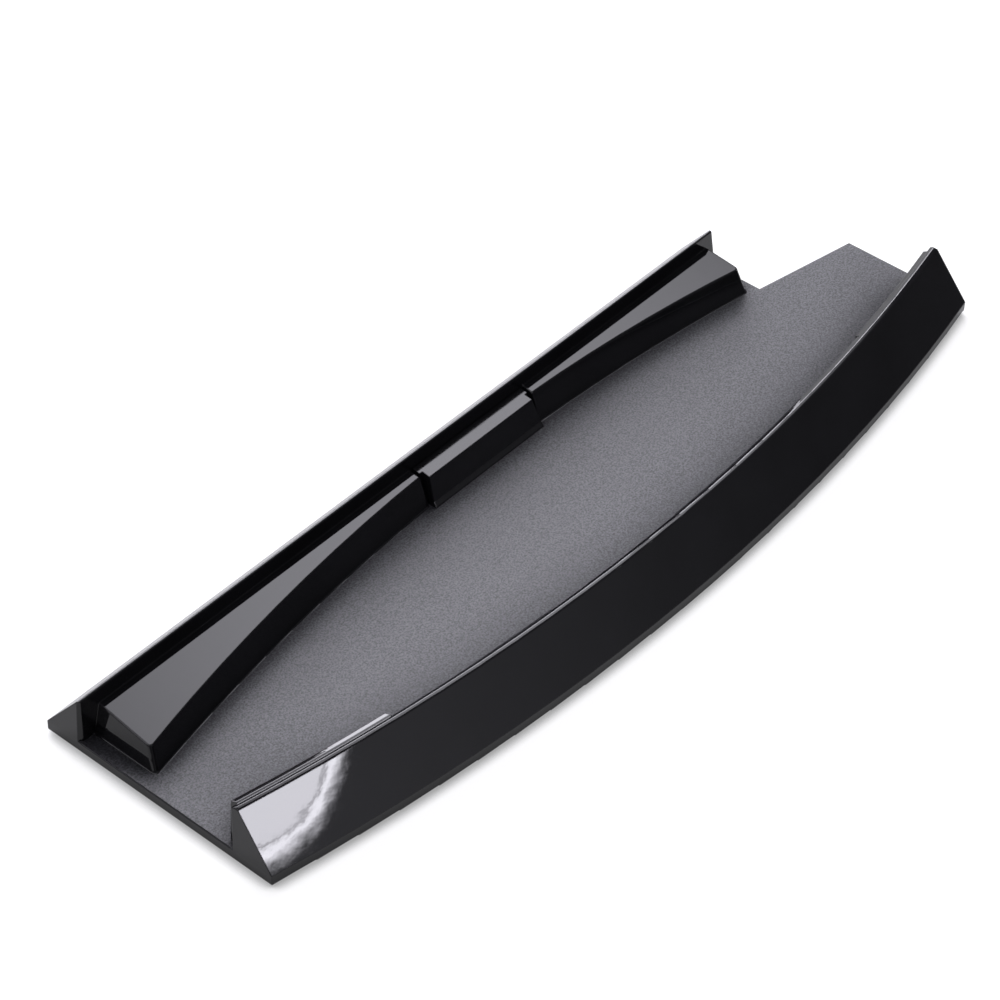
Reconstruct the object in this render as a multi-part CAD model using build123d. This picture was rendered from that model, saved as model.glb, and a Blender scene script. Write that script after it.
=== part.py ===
from build123d import *
from math import cos, radians, sqrt, tan
import os

# All sizes are in millimetres. X runs along the length, Y from the bowed front wall to the back wall, Z up.
# While it is built, the near front corner of the plate is at x 0, y 0, and the ground is at z 0.

# Plan of the plate
length = 230.0
end_width = 60.3
front_bulge = 12.0
notch_length = 27.8
notch_setback = 22.4
notch_slant = 5.2

# Heights, the walls and rests from the plate's top
pad_proud = 0.4
plate_thickness = 2.9
front_rise = 11.9
back_rise = 11.05
rest_rise = 7.17

# Front wall: its outer face leans in, its inner face is upright under a sloping lead-in
front_lean = 8.65
front_crest = 0.85
lead_in = 0.95
lead_slope = 35.0
front_near_lean = 0.4
front_far_lean = 1.5

# Ledges on the front wall's inner face, just under its lead-in
ledge_drop = 0.05
ledge_inset = 1.6
end_ledge_length = 38.0
near_flat = 0.6
near_bevel = 1.1
near_bevel_slope = 22.0
far_end_ledge = 1.0
far_ledge = 0.45
far_ledge_drop = 0.1
far_ledge_offset = 5.0
swell_ledge = 0.45
swell_start = 52.0
swell_stop = 81.0

# Back wall: its outer face leans in, its inner face is upright
back_lean = 8.75
back_top = 0.6
back_near_lean = 0.3
back_far_lean = 2.4

# Side rests along the back wall, with a conical face that leans away from the slot
rest_radius = 535.0
rest_least = 5.1
rest_face_lean = 21.5
rest_top_slope = 7.5
rest_near_inset = 3.8
rest_far_inset = 2.8
rest_near_lean = 1.6
rest_far_lean = 1.0
rest_gap_half = 18.3
rest_gap_offset = -0.4

# Centre insert between the rests, held by two pegs
insert_gap = 0.7
insert_fit = 0.1
insert_flange = 2.0
insert_step = 0.9
insert_depth = 4.1
insert_end_lean = 1.0
insert_flare_height = 1.3
insert_flare = 0.85
insert_wall = 1.3
peg_diameter = 2.6
peg_length = 1.6
peg_spacing = 22.0
peg_clearance = 0.1

# Hollow of the underside
wall = 1.8
skin = 1.8
rim = 2.0
rib = 1.2
rib_spacing = 38.0
long_rib_y = 24.0
boss_wall = 1.5

# Anti-slip pads
pad_diameter = 8.0
pad_thickness = 1.3
pad_clearance = 0.1
front_pad_inset = 39.0
back_pad_inset = 14.0

# Roundings and bevels
front_round = 0.4
front_end_bevel = 0.7
back_outer_round = 0.4
back_inner_round = 0.3
back_end_bevel = 0.85
rest_round = 0.35
rest_corner_round = 0.9
rest_foot_round = 0.4
edge_round = 0.3
foot_round = 0.8
pad_chamfer = 0.25

# Values that follow from the sizes above
mid_x = length / 2
back_length = length - notch_length
plate_top = pad_proud + plate_thickness
front_height = plate_top + front_rise
back_height = plate_top + back_rise
rest_height = plate_top + rest_rise
front_radius = (mid_x ** 2 + front_bulge ** 2) / (2 * front_bulge)
front_axis_y = front_radius - front_bulge
front_depth = front_lean + front_crest + lead_in
back_depth = back_lean + back_top
back_face_y = end_width - back_depth
rest_crown_y = back_face_y - rest_least
rest_axis_y = rest_crown_y - rest_radius
rest_near_x = rest_near_inset
rest_far_x = back_length - rest_far_inset
gap_x = mid_x + rest_gap_offset
gap_near_x = gap_x - rest_gap_half
gap_far_x = gap_x + rest_gap_half
face_slope = tan(radians(rest_face_lean))
face_cos = cos(radians(rest_face_lean))
top_slope = tan(radians(rest_top_slope))
lead_fall = tan(radians(lead_slope))
near_fall = tan(radians(near_bevel_slope))
recess_roof = plate_top - skin
boss_diameter = pad_diameter + 2 * (pad_clearance + boss_wall)

# Overlap of joined shapes, reach of trimming shapes and half angle of turned ones
sunk = skin / 2
reach = length / 4
half_sweep = 14.0

# For picking edges: the least climb of a steep edge, and the room around a place
steep_share = 0.6
pick = 0.001


def at(value):
    # The narrow range around a value, for picking edges by their place
    return value - pick, value + pick


def upright(y0, y1, z0, z1):
    # A rectangle seen from the end
    return [(y0, z0), (y1, z0), (y1, z1), (y0, z1)]


def outline_face(points, rounds):
    # A face with straight sides, rounded at the corners whose numbers and radii are given
    face = make_face(Polyline(*points, close=True)).face()
    for corner, radius in rounds.items():
        face = face.fillet_2d(radius, [face.vertices().sort_by_distance(points[corner])[0]])
    return face


def across(points, x0, x1, rounds={}):
    # A solid with the outline (y, z) seen from the end, between two x values
    face = outline_face([(x0, y, z) for y, z in points], rounds)
    return extrude(face, amount=x1 - x0, dir=(1, 0, 0))


def between(x0, x1, lean0, lean1, z_top):
    # The space between two end planes that pass x0 and x1 at the plate's top and lean in up to z_top
    y0 = -front_bulge - reach
    low_share, high_share = [(z - plate_top) / (z_top - plate_top) for z in (-sunk, 2 * z_top)]
    outline = [(x0 + lean0 * low_share, -sunk), (x1 - lean1 * low_share, -sunk)]
    outline += [(x1 - lean1 * high_share, 2 * z_top), (x0 + lean0 * high_share, 2 * z_top)]
    face = make_face(Polyline(*[(x, y0, z) for x, z in outline], close=True))
    return extrude(face, amount=end_width + reach - y0, dir=(0, 1, 0))


def turned(points, axis_y, side):
    # A solid turned about an upright axis at mid length, from (radius, z) pairs on one side of it
    face = outline_face([(mid_x, axis_y + side * r, z) for r, z in points], {})
    axis = Axis((mid_x, axis_y, 0), (0, 0, 1))
    return revolve(face.rotate(axis, -half_sweep), axis, revolution_arc=2 * half_sweep)


def front_turned(points):
    # The same for the front wall, from (distance behind the front edge, z) pairs
    return turned([(front_radius - offset, z) for offset, z in points], front_axis_y, -1)


def front_y(offset, x):
    # Where the arc that lies this far behind the front edge is at x
    return front_axis_y - sqrt((front_radius - offset) ** 2 - (x - mid_x) ** 2)


def slab(face, z0, z1):
    return extrude(face, amount=z1 - z0, dir=(0, 0, 1)).moved(Location((0, 0, z0)))


def post(x, y, diameter, z0, z1):
    standing = (Align.CENTER, Align.CENTER, Align.MIN)
    return Cylinder(diameter / 2, z1 - z0, align=standing).moved(Location((x, y, z0)))


def plate_outline(inset):
    # The plate's plan with sharp corners, drawn in by an inset on every side
    x0, x1, x_back = inset, length - inset, back_length - inset
    y_corner, y_back = front_y(inset, inset), end_width - inset
    y_notch = end_width - notch_setback - inset
    y_far = y_notch - notch_slant * (x1 - x_back) / notch_length
    front = ThreePointArc((x0, y_corner), (mid_x, inset - front_bulge), (x1, y_corner))
    corners = [(x1, y_corner), (x1, y_far), (x_back, y_notch)]
    corners += [(x_back, y_back), (x0, y_back), (x0, y_corner)]
    return make_face(front.edges() + Polyline(*corners).edges())


def rest_top(y):
    # Height at y of the plane that the tops of the rests and the insert share
    return rest_height - top_slope * (back_face_y - y)


def rest_block(x0, x1, lean0, lean1, inset, z0, y_back):
    # A side rest between two end planes, or its hollow when drawn in by an inset
    y_front = rest_crown_y - reach
    roof = [(y, rest_top(y) - inset) for y in (y_back, y_front)]
    block = across([(y_front, z0), (y_back, z0)] + roof, 0, length)
    z_low, z_high = z0 - sunk, rest_height + sunk
    face = [(rest_radius + inset / face_cos + face_slope * (z - plate_top), z) for z in (z_low, z_high)]
    slot_side = [(rest_radius - 2 * reach, z) for z in (z_high, z_low)]
    slot = turned(face + slot_side, rest_axis_y, 1)
    return (block - slot) & between(x0 + inset, x1 - inset, lean0, lean1, rest_height)


def near_rest_block(inset, z0, y_back):
    return rest_block(rest_near_x, gap_near_x, rest_near_lean, 0, inset, z0, y_back)


def far_rest_block(inset, z0, y_back):
    return rest_block(gap_far_x, rest_far_x, 0, rest_far_lean, inset, z0, y_back)


def rest(block):
    # The rest itself, let into the plate and the back wall, with its free corner and its top edges rounded
    solid = block(0, plate_top - sunk, back_face_y + wall / 2)
    steep = solid.edges().filter_by(lambda e: abs(e.tangent_at(0.5).Z) > steep_share)
    solid = fillet(steep.sort_by(Axis.Y)[0], rest_corner_round)
    top = solid.faces().sort_by(Axis.Z)[-1]
    edges = top.outer_wire().edges().filter_by(lambda e: e.center().Y < back_face_y)
    return fillet(edges, rest_round)


def ledge(flat, bevel, fall, top):
    # A ledge along the front wall's inner face, with a level top and then a bevel that falls from it
    low, depth = plate_top - sunk, front_depth + flat + bevel
    inside = front_depth - wall / 2
    bevel_line = [(depth - bevel, top), (depth, top - bevel * fall)]
    return front_turned([(inside, low), (inside, top)] + bevel_line + [(depth, low)])


def end_cut(x_end, side, y_face, turn, size):
    # The wedge that bevels a wall's upright inner edge at x_end; turn points from the inner face into the wall
    out_x, deep_y = x_end - side * size, y_face + turn * 2 * size
    in_x, clear_y = x_end + side * 2 * size, y_face - turn * size
    face = make_face(Polyline((out_x, deep_y), (in_x, clear_y), (out_x, clear_y), close=True))
    return slab(face, plate_top, 2 * front_height)


def hollow_outline(lean, rise, depth):
    # The hollow of a wall as (distance behind its foot, z), with its leaning skin one wall thick
    line = wall * sqrt(lean ** 2 + rise ** 2) / rise
    web = depth - wall
    z_rim, z_web = [plate_top + (offset - line) * rise / lean for offset in (rim, web)]
    return [(rim, pad_proud - sunk), (rim, z_rim), (web, z_web), (web, pad_proud - sunk)]


# Plate
plan = plate_outline(0)
plate = slab(plan, pad_proud, plate_top)
plate = fillet(plate.faces().sort_by(Axis.Z)[0].outer_wire().edges(), foot_round)
plate = fillet(plate.faces().sort_by(Axis.Z)[-1].outer_wire().edges(), edge_round)

# Front wall, turned about the axis of its bow
front_span = between(0, length, front_near_lean, front_far_lean, front_height)
lead_end = front_height - lead_in * lead_fall
front_outline = [(0, plate_top), (front_lean, front_height), (front_lean + front_crest, front_height)]
front_outline += [(front_depth, lead_end), (front_depth, plate_top)]
front_wall = front_turned(front_outline) & front_span & slab(plan, 0, front_height)
for x, side in ((0, 1), (length, -1)):
    front_wall -= end_cut(x, side, front_y(front_depth, x), -1, front_end_bevel)
front_wall = fillet(front_wall.faces().sort_by(Axis.Z)[-1].outer_wire().edges(), front_round)
front_root = front_turned(upright(0, front_depth, plate_top - sunk, plate_top)) & slab(plan, 0, plate_top)

# Ledges: one at each end, a thin one past the middle and one that swells towards the middle
ledge_top = lead_end - ledge_drop
far_ledge_end = length - end_ledge_length
near_span = between(ledge_inset, end_ledge_length, front_near_lean, 0, front_height)
far_end_span = between(far_ledge_end, length - ledge_inset, 0, front_far_lean, front_height)
far_span = between(mid_x + far_ledge_offset, far_ledge_end + far_end_ledge, 0, 0, front_height)
swell = [(swell_start, front_depth), (swell_stop, front_depth + swell_ledge)]
swell += [(swell_stop, front_depth - wall), (swell_start, front_depth - wall)]
swell_face = make_face(Polyline(*[(x, front_y(offset, x)) for x, offset in swell], close=True))
ledges = ledge(near_flat, near_bevel, near_fall, ledge_top) & near_span
ledges += ledge(0, far_end_ledge, lead_fall, ledge_top) & far_end_span
ledges += ledge(0, far_ledge, lead_fall, ledge_top - far_ledge_drop) & far_span
ledges += ledge(0, 2 * swell_ledge, lead_fall, ledge_top) & slab(swell_face, plate_top - sunk, front_height)

# Back wall
back_outline = [(end_width, plate_top), (end_width - back_lean, back_height)]
back_outline += [(back_face_y, back_height), (back_face_y, plate_top)]
back_span = between(0, back_length, back_near_lean, back_far_lean, back_height)
back_wall = across(back_outline, 0, length, {1: back_outer_round, 2: back_inner_round})
back_wall = back_wall & back_span & slab(plan, 0, back_height)
for x, side in ((0, 1), (back_length, -1)):
    back_wall -= end_cut(x, side, back_face_y, 1, back_end_bevel)
back_root = across(upright(back_face_y, end_width, plate_top - sunk, plate_top), 0, length)
back_root &= slab(plan, 0, plate_top)

# Hollow of the underside: the plate's recess and the hollows of both walls and both rests
low = pad_proud - sunk
hollow = slab(plate_outline(rim), low, recess_roof)
front_hollow = front_turned(hollow_outline(front_lean, front_rise, front_depth))
hollow += front_hollow & between(wall, length - wall, front_near_lean, front_far_lean, front_height)
back_hollow_outline = hollow_outline(back_lean, back_rise, back_depth)
back_hollow = across([(end_width - offset, z) for offset, z in back_hollow_outline], 0, length)
hollow += back_hollow & between(wall, back_length - wall, back_near_lean, back_far_lean, back_height)
hollow += near_rest_block(wall, low, back_face_y) + far_rest_block(wall, low, back_face_y)

# Pads, one under each end of both long sides
boss_radius = boss_diameter / 2
front_pad_y = front_y(front_depth, front_pad_inset) + boss_radius
back_pad_y = back_face_y - boss_radius
pad_places = {
    "foot_pad_front_left": (front_pad_inset, front_pad_y),
    "foot_pad_front_right": (length - front_pad_inset, front_pad_y),
    "foot_pad_back_left": (back_pad_inset, back_pad_y),
    "foot_pad_back_right": (back_length - back_pad_inset, back_pad_y),
}
pads = {}
for name, (x, y) in pad_places.items():
    pad = post(x, y, pad_diameter, 0, pad_thickness)
    pads[name] = chamfer(pad.edges().sort_by(Axis.Z)[0], pad_chamfer)

# Ribs and pad bosses left standing in the hollow
for side in (-1, 1):
    x = mid_x + side * rib_spacing / 2
    while rim < x < length - rim:
        hollow -= across(upright(-reach, end_width, pad_proud, front_height), x - rib / 2, x + rib / 2)
        x += side * rib_spacing
hollow -= across(upright(long_rib_y - rib / 2, long_rib_y + rib / 2, pad_proud, plate_top), 0, length)
for x, y in pad_places.values():
    hollow -= post(x, y, boss_diameter, pad_proud, front_height)

# Centre insert: a nose with a flared foot and a flange behind it, hollow from below
insert_back_y = back_face_y - insert_fit
flange_half = rest_gap_half - insert_gap
flange_y = insert_back_y - insert_flange
nose_half = flange_half - insert_step + insert_end_lean
nose_y = back_face_y - insert_depth
flare_z = plate_top + insert_flare_height
flare_y = nose_y - face_slope * (rest_top(nose_y) - flare_z)
insert_roof = [(y, rest_top(y)) for y in (insert_back_y, nose_y)]
nose_foot = [(flare_y, flare_z), (flare_y - insert_flare, plate_top)]
nose_outline = [(insert_back_y, plate_top)] + insert_roof + nose_foot
nose = across(nose_outline, gap_near_x, gap_far_x)
nose &= between(gap_x - nose_half, gap_x + nose_half, insert_end_lean, insert_end_lean, rest_height)
flange_roof = [(y, rest_top(y)) for y in (insert_back_y, flange_y)]
flange_outline = [(flange_y, plate_top), (insert_back_y, plate_top)] + flange_roof
flange = across(flange_outline, gap_x - flange_half, gap_x + flange_half)
insert_void_y = insert_back_y - insert_wall
skin_y = flare_y + insert_wall / face_cos
void_top = rest_top(nose_y) - insert_wall
void_outline = [(insert_void_y, low), (insert_void_y, void_top)]
void_outline += [(skin_y + face_slope * (void_top - flare_z), void_top), (skin_y, flare_z), (skin_y, low)]
void_half = nose_half - insert_end_lean - insert_wall
centre_insert = nose + flange - across(void_outline, gap_x - void_half, gap_x + void_half)
peg_y = (insert_void_y + skin_y) / 2
peg_places = [(gap_x + side * peg_spacing / 2, peg_y) for side in (-1, 1)]
for x, y in peg_places:
    centre_insert += post(x, y, peg_diameter, plate_top - peg_length, plate_top)
    centre_insert += post(x, y, peg_diameter, plate_top, void_top) & nose

# Base moulding
base = plate + front_root + front_wall + ledges + back_root + back_wall
base += rest(near_rest_block) + rest(far_rest_block)
rest_feet = base.edges().filter_by_position(Axis.Z, *at(plate_top)).filter_by(GeomType.CIRCLE)
rest_feet = rest_feet.filter_by(lambda e: abs(e.radius - rest_radius) < 1)
base = fillet(rest_feet, rest_foot_round) - hollow
for x, y in pad_places.values():
    base -= post(x, y, pad_diameter + 2 * pad_clearance, 0, pad_thickness)
for x, y in peg_places:
    base -= post(x, y, peg_diameter + 2 * peg_clearance, low, plate_top + sunk)

# The origin goes to the middle of the ground under the whole outline
nodes = {"base": base, "centre_insert": centre_insert, **pads}
to_origin = Location((-mid_x, (front_bulge - end_width) / 2, 0))
os.makedirs("parts", exist_ok=True)
for name, solid in nodes.items():
    export_step(solid.moved(to_origin), f"parts/{name}.step")
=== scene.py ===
from math import cos, pi, radians, sin

import bpy
from mathutils import Matrix, Vector

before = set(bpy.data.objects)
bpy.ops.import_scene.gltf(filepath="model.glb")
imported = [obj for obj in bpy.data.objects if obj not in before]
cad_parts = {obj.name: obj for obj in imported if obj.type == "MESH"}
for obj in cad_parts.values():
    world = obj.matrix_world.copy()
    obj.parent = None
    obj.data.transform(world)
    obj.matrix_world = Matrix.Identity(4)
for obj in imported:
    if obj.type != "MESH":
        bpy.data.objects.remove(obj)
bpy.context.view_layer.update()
scene = bpy.context.scene

# Lengths are in metres and angles in degrees.
# X runs along the stand, Y from the bowed front wall to the back wall, Z up.
mm = 0.001

# Camera at the photograph's angle
camera_place = (-0.39176, -0.299175, 0.45851)
camera_azimuth = -51.069
camera_elevation = 42.631
camera_roll = 2.139
camera_lens = 114.37
camera_sensor = 36
camera_clip_start = 10 * mm

# The plate's top, which has a moulded grain: its height, and the limits within which a place is on it
plate_top = 3.3 * mm
plate_top_off = (0.03 * mm, 0.08 * mm)
plate_top_level = (0.98, 0.999)

# Fine detail of the surfaces: features per metre, and the heights of bumps
grain_scale = 2500
grain_height = 0.045 * mm
peel_scale = 220
peel_height = 0.005 * mm
smudge_scale = 45
insert_peel_scale = 420
insert_peel_height = 0.004 * mm
insert_smudge_scale = 60
rubber_height = 0.02 * mm
edge_rounding = 0.3 * mm
edge_samples = 6
air_samples = 8

# The span that nearly all of a noise lies in, and a narrower one for more contrast
noise_span = (0.3, 0.7)
contrast_span = (0.35, 0.65)

# Ranges of roughness, of shine and of brightness over a surface
gloss_roughness = (0.006, 0.02)
satin_roughness = (0.48, 0.58)
insert_roughness = (0.07, 0.13)
rubber_roughness = (0.75, 0.9)
gloss_shine = 0.5
satin_shine = (0.75, 1.4)
plastic_ior = 1.45
base_black = (0.004, 0.008)
base_grain = (0.005, 0.07)
insert_black = (0.004, 0.009)
rubber_black = (0.012, 0.03)
blue_share = 1.15

# Painted shade on the plate beside the walls and rests
shade_reach = 20 * mm
shade_air = (0.68, 0.92)
shade_least = 0.35
shade_power = 1.5

# Floor: its grey, and its white glow, which is dimmer in mirrors and, as a painted contact shadow,
# close to the object
floor_half = 4.0
floor_scale = 6.0
floor_grey = (0.34, 0.36)
contact_reach = 3.5 * mm
contact_air = (0.5, 0.85)
floor_glow = (0.35, 0.8)
mirror_share = 0.4

# Room: its light, and a brighter part of it about the front lamp
room_colour = (0.97, 0.96, 1.05, 1)
room_light = (0.1, 0.7)
bright_azimuth = 8
bright_elevation = 15
bright_cosine = 0.6
bright_power = 4.0

# Lamps: their colour, and the front one's rim and seam as shares of its size, with 0.5 at its edge
lamp_colour = (0.98, 0.97, 1.05)
lamp_middle = (0.5, 0.5, 0)
lamp_edge = 0.5
rim_start = 0.42
seam_place = 0.39
seam_off = (0.002, 0.008)
seam_light = 0.35
inner_light = 0.7


def direction(azimuth, elevation):
    # The way to a place seen from the object, with azimuth 0 towards -Y and 90 towards +X
    a, e = radians(azimuth), radians(elevation)
    return Vector((sin(a) * cos(e), -cos(a) * cos(e), sin(e)))


# Nodes of materials

def node(tree, kind, inputs={}, **settings):
    # A new node with its settings, and with its inputs linked or set
    made = tree.nodes.new(kind)
    for name, value in settings.items():
        setattr(made, name, value)
    for name, value in inputs.items():
        if isinstance(value, bpy.types.NodeSocket):
            tree.links.new(value, made.inputs[name])
        else:
            made.inputs[name].default_value = value
    return made


def calc(tree, operation, *values):
    made = node(tree, "ShaderNodeMath", dict(enumerate(values)), operation=operation)
    return made.outputs[0]


def vector(tree, operation, *values):
    made = node(tree, "ShaderNodeVectorMath", dict(enumerate(values)), operation=operation)
    return made.outputs["Value" if operation in ("LENGTH", "DOT_PRODUCT") else "Vector"]


def ramp(tree, value, low, high, to_low=0.0, to_high=1.0):
    # Maps the range from low to high onto another one, and stays inside it
    inputs = {"Value": value, "From Min": low, "From Max": high, "To Min": to_low, "To Max": to_high}
    return node(tree, "ShaderNodeMapRange", inputs).outputs[0]


def spread(tree, value, to, span=noise_span):
    # Spreads a noise over a range
    return ramp(tree, value, *span, *to)


def mix(tree, share, first, second):
    return node(tree, "ShaderNodeMix", {"Factor": share, 2: first, 3: second}).outputs[0]


def noise(tree, place, scale, detail=2.0, roughness=0.5):
    inputs = {"Vector": place, "Scale": scale, "Detail": detail, "Roughness": roughness}
    return node(tree, "ShaderNodeTexNoise", inputs).outputs["Fac"]


def bump(tree, height, distance, strength=1.0, normal=None):
    inputs = {"Height": height, "Distance": distance, "Strength": strength}
    if normal:
        inputs["Normal"] = normal
    return node(tree, "ShaderNodeBump", inputs).outputs[0]


def soft_edges(tree):
    # Shades each sharp edge as the small rounding that a mould leaves
    return node(tree, "ShaderNodeBevel", {"Radius": edge_rounding}, samples=edge_samples).outputs[0]


def open_air(tree, reach):
    # 1 in the open, and less the more that lies within reach over the surface
    made = node(tree, "ShaderNodeAmbientOcclusion", {"Distance": reach}, samples=air_samples)
    return made.outputs["AO"]


def grey(tree, value):
    return node(tree, "ShaderNodeCombineColor", {0: value, 1: value, 2: value}).outputs[0]


def cool_black(tree, value):
    # A dark grey with a little more blue in it
    blue = ramp(tree, value, 0, 1, 0, blue_share)
    return node(tree, "ShaderNodeCombineColor", {0: value, 1: value, 2: blue}).outputs[0]


def blank_material(name):
    material = bpy.data.materials.new(name)
    material.use_nodes = True
    tree = material.node_tree
    tree.nodes.clear()
    place = node(tree, "ShaderNodeTexCoord").outputs["Object"]
    return material, tree, place


def finish_material(tree, shader):
    node(tree, "ShaderNodeOutputMaterial", {"Surface": shader.outputs[0]})


def fine_grain(tree, place):
    return noise(tree, place, grain_scale, detail=3.0, roughness=0.6)


def smudges(tree, place, scale):
    return noise(tree, place, scale, detail=4.0, roughness=0.6)


def plate_mask(tree, place):
    # 1 on the plate's level top and 0 elsewhere
    height = node(tree, "ShaderNodeSeparateXYZ", {"Vector": place}).outputs["Z"]
    facing = node(tree, "ShaderNodeNewGeometry").outputs["Normal"]
    level = node(tree, "ShaderNodeSeparateXYZ", {"Vector": facing}).outputs["Z"]
    off = calc(tree, "ABSOLUTE", calc(tree, "SUBTRACT", height, plate_top))
    near = ramp(tree, off, *plate_top_off, 1.0, 0.0)
    flat = ramp(tree, level, *plate_top_level)
    return calc(tree, "MULTIPLY", near, flat)


def moulded_plastic():
    # Black plastic, polished all over but for the plate's top, which has a fine grain
    material, tree, place = blank_material("moulded_plastic")
    grained = plate_mask(tree, place)
    grain = fine_grain(tree, place)
    peel = noise(tree, place, peel_scale, detail=3.0, roughness=0.4)
    smudge = smudges(tree, place, smudge_scale)
    gloss = spread(tree, smudge, gloss_roughness)
    satin = spread(tree, grain, satin_roughness)
    # Painted shade: the plate's grain colour and shine are darkened near the walls and rests, the
    # less open the surface is
    shade = ramp(tree, open_air(tree, shade_reach), *shade_air, shade_least, 1.0)
    lit = calc(tree, "POWER", shade, shade_power)
    shine_with_painted_shade = calc(tree, "MULTIPLY", lit, spread(tree, grain, satin_shine, contrast_span))
    waves = bump(tree, peel, peel_height, normal=soft_edges(tree))
    shaded_grain_specks = calc(tree, "MULTIPLY", lit, spread(tree, grain, base_grain, contrast_span))
    shaded_grain_specks = calc(tree, "MULTIPLY", grained, shaded_grain_specks)
    black = calc(tree, "ADD", shaded_grain_specks, spread(tree, smudge, base_black))
    inputs = {
        "Base Color": cool_black(tree, black),
        "Roughness": mix(tree, grained, gloss, satin),
        "IOR": plastic_ior,
        "Specular IOR Level": mix(tree, grained, gloss_shine, shine_with_painted_shade),
        "Normal": bump(tree, grain, grain_height, grained, waves),
    }
    finish_material(tree, node(tree, "ShaderNodeBsdfPrincipled", inputs))
    return material


def insert_plastic():
    material, tree, place = blank_material("insert_plastic")
    smudge = smudges(tree, place, insert_smudge_scale)
    peel = noise(tree, place, insert_peel_scale, detail=1.0)
    inputs = {
        "Base Color": cool_black(tree, spread(tree, smudge, insert_black)),
        "Roughness": spread(tree, smudge, insert_roughness),
        "Normal": bump(tree, peel, insert_peel_height, normal=soft_edges(tree)),
    }
    finish_material(tree, node(tree, "ShaderNodeBsdfPrincipled", inputs))
    return material


def pad_rubber():
    material, tree, place = blank_material("pad_rubber")
    grain = fine_grain(tree, place)
    inputs = {
        "Base Color": grey(tree, spread(tree, grain, rubber_black)),
        "Roughness": spread(tree, grain, rubber_roughness),
        "Normal": bump(tree, grain, rubber_height),
    }
    finish_material(tree, node(tree, "ShaderNodeBsdfPrincipled", inputs))
    return material


def dress(material, *names):
    for name in names:
        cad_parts[name].material_slots[0].material = material


pads = [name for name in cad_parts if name.startswith("foot_pad")]
dress(moulded_plastic(), "base")
dress(insert_plastic(), "centre_insert")
dress(pad_rubber(), *pads)


# Stage

def floor_material():
    # Matt and pale, with a glow that the camera and mirrors see and that lights nothing
    material, tree, place = blank_material("floor")
    rays = node(tree, "ShaderNodeLightPath").outputs
    mirrored = calc(tree, "MAXIMUM", rays["Is Glossy Ray"], rays["Is Transmission Ray"])
    dimmed = calc(tree, "MULTIPLY", mirrored, mirror_share)
    seen = calc(tree, "MAXIMUM", rays["Is Camera Ray"], dimmed)
    pale = grey(tree, spread(tree, noise(tree, place, floor_scale), floor_grey))
    matt = node(tree, "ShaderNodeBsdfDiffuse", {"Color": pale})
    # Painted contact shadow: the floor's glow is dimmed where the object is close
    painted_contact_shadow = ramp(tree, open_air(tree, contact_reach), *contact_air, *floor_glow)
    glow = node(tree, "ShaderNodeEmission", {"Strength": calc(tree, "MULTIPLY", seen, painted_contact_shadow)})
    both = node(tree, "ShaderNodeAddShader", {0: matt.outputs[0], 1: glow.outputs[0]})
    finish_material(tree, both)
    return material


def floor():
    mesh = bpy.data.meshes.new("floor")
    corners = [(-1, -1), (1, -1), (1, 1), (-1, 1)]
    mesh.from_pydata([(floor_half * x, floor_half * y, 0) for x, y in corners], [], [(0, 1, 2, 3)])
    made = bpy.data.objects.new("floor", mesh)
    scene.collection.objects.link(made)
    mesh.materials.append(floor_material())


def softbox(name, aim, azimuth, elevation, distance, width, height, radiance, shape="RECTANGLE"):
    # An area lamp that faces the aim, with the brightness that its surface has
    data = bpy.data.lights.new(name, "AREA")
    data.shape = shape
    data.size = width
    data.size_y = height
    share = pi / 4 if shape == "ELLIPSE" else 1
    data.energy = radiance * pi * width * height * share
    data.color = lamp_colour
    made = bpy.data.objects.new(name, data)
    back = direction(azimuth, elevation)
    made.location = Vector(aim) + back * distance
    made.rotation_mode = "QUATERNION"
    made.rotation_quaternion = (-back).to_track_quat("-Z", "Y")
    made.visible_camera = False
    scene.collection.objects.link(made)
    return data


def from_middle(tree):
    # How far a place on a lamp is from its middle, as a share of the lamp's size
    place = node(tree, "ShaderNodeNewGeometry").outputs["Parametric"]
    return vector(tree, "LENGTH", vector(tree, "SUBTRACT", place, lamp_middle))


def lamp_nodes(data):
    data.use_nodes = True
    tree = data.node_tree
    return tree, tree.nodes["Emission"].inputs["Strength"]


def fade(data):
    # Dims a lamp from its middle down to nothing at its edge
    tree, strength = lamp_nodes(data)
    squared = calc(tree, "POWER", from_middle(tree), 2.0)
    tree.links.new(ramp(tree, squared, 0, lamp_edge ** 2, 1.0, 0.0), strength)


def rim(data):
    # Gives a round lamp a brighter rim with a soft outer edge, and a thin dark seam inside the rim
    tree, strength = lamp_nodes(data)
    far = from_middle(tree)
    body = ramp(tree, far, seam_place, rim_start, inner_light, 1.0)
    edge = calc(tree, "POWER", ramp(tree, far, rim_start, lamp_edge, 1.0, 0.0), 2.0)
    off_seam = calc(tree, "ABSOLUTE", calc(tree, "SUBTRACT", far, seam_place))
    seam = ramp(tree, off_seam, *seam_off, seam_light, 1.0)
    inside = calc(tree, "MULTIPLY", body, seam)
    tree.links.new(calc(tree, "MULTIPLY", inside, edge), strength)


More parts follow.
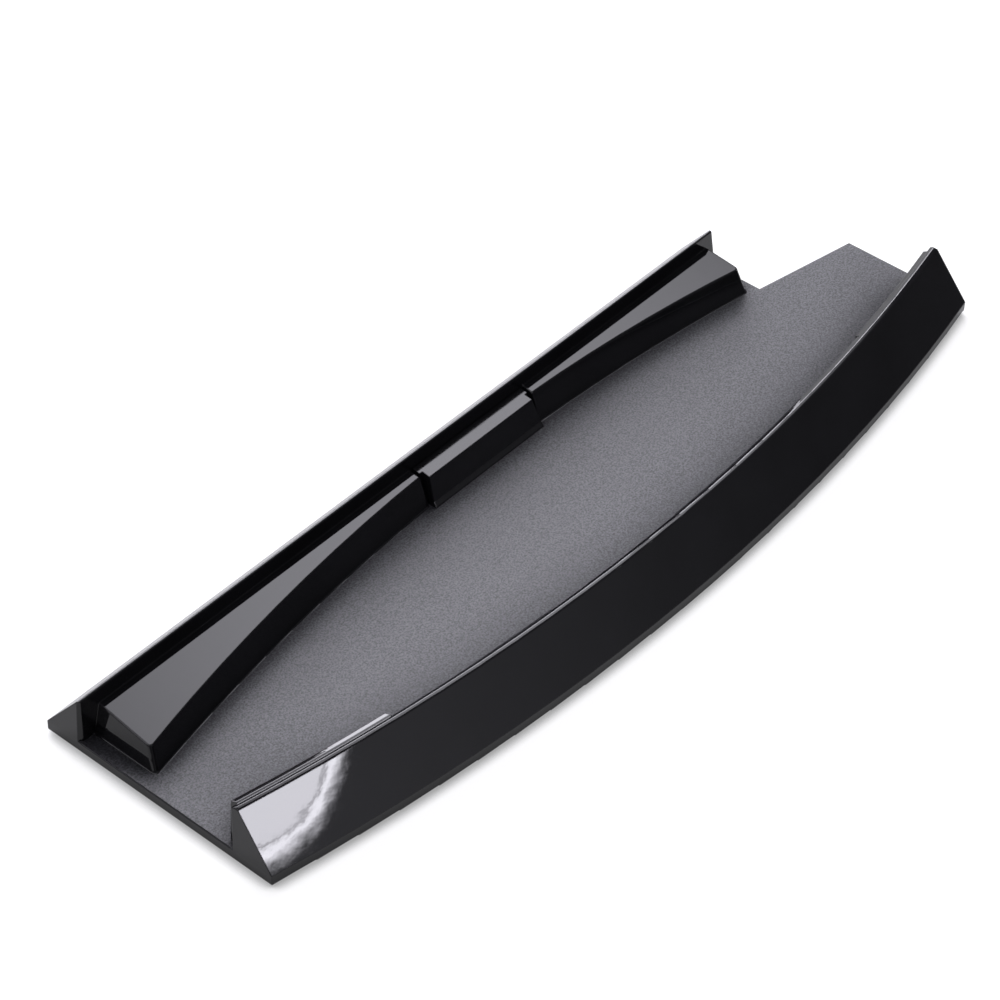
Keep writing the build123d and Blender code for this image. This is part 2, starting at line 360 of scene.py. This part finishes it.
def room():
    # A dim room that is brighter about the front lamp
    world = bpy.data.worlds.new("world")
    world.use_nodes = True
    tree = world.node_tree
    way = node(tree, "ShaderNodeTexCoord").outputs["Generated"]
    nearness = vector(tree, "DOT_PRODUCT", way, direction(bright_azimuth, bright_elevation))
    glow = calc(tree, "POWER", ramp(tree, nearness, bright_cosine, 1.0), bright_power)
    background = tree.nodes["Background"]
    background.inputs["Color"].default_value = room_colour
    tree.links.new(ramp(tree, glow, 0, 1, *room_light), background.inputs["Strength"])
    scene.world = world


def light():
    middle = (0, 0, 0)
    near_half = (-0.03, 0, 0)
    near_panel = (-0.1, -0.016, 0.01)
    room()
    fade(softbox("key", middle, azimuth=118.5, elevation=52.5, distance=1.6,
                 width=0.88, height=0.88, radiance=5.2))
    softbox("rear", near_half, azimuth=153, elevation=26.8, distance=1.6,
            width=1.4, height=1.0, radiance=7.6)
    softbox("back", middle, azimuth=-125, elevation=38, distance=1.6,
            width=1.0, height=0.7, radiance=1.6)
    rim(softbox("front", near_panel, azimuth=12.7, elevation=19.12, distance=2.15,
                width=0.48, height=0.245, radiance=25, shape="ELLIPSE"))
    softbox("left", middle, azimuth=-95, elevation=45, distance=1.6,
            width=1.0, height=0.9, radiance=0.6)
    softbox("top", middle, azimuth=-90, elevation=80, distance=1.8,
            width=1.3, height=1.3, radiance=1.4)


def camera():
    back = direction(camera_azimuth, camera_elevation)
    right = Vector((cos(radians(camera_azimuth)), sin(radians(camera_azimuth)), 0))
    up = back.cross(right)
    roll = radians(camera_roll)
    across = cos(roll) * right + sin(roll) * up
    upwards = -sin(roll) * right + cos(roll) * up
    data = bpy.data.cameras.new("camera")
    data.lens = camera_lens
    data.sensor_width = camera_sensor
    data.clip_start = camera_clip_start
    made = bpy.data.objects.new("camera", data)
    turn = Matrix((across, upwards, back)).transposed()
    made.matrix_world = Matrix.Translation(camera_place) @ turn.to_4x4()
    scene.collection.objects.link(made)
    scene.camera = made


floor()
light()
camera()
scene.view_settings.view_transform = "Standard"
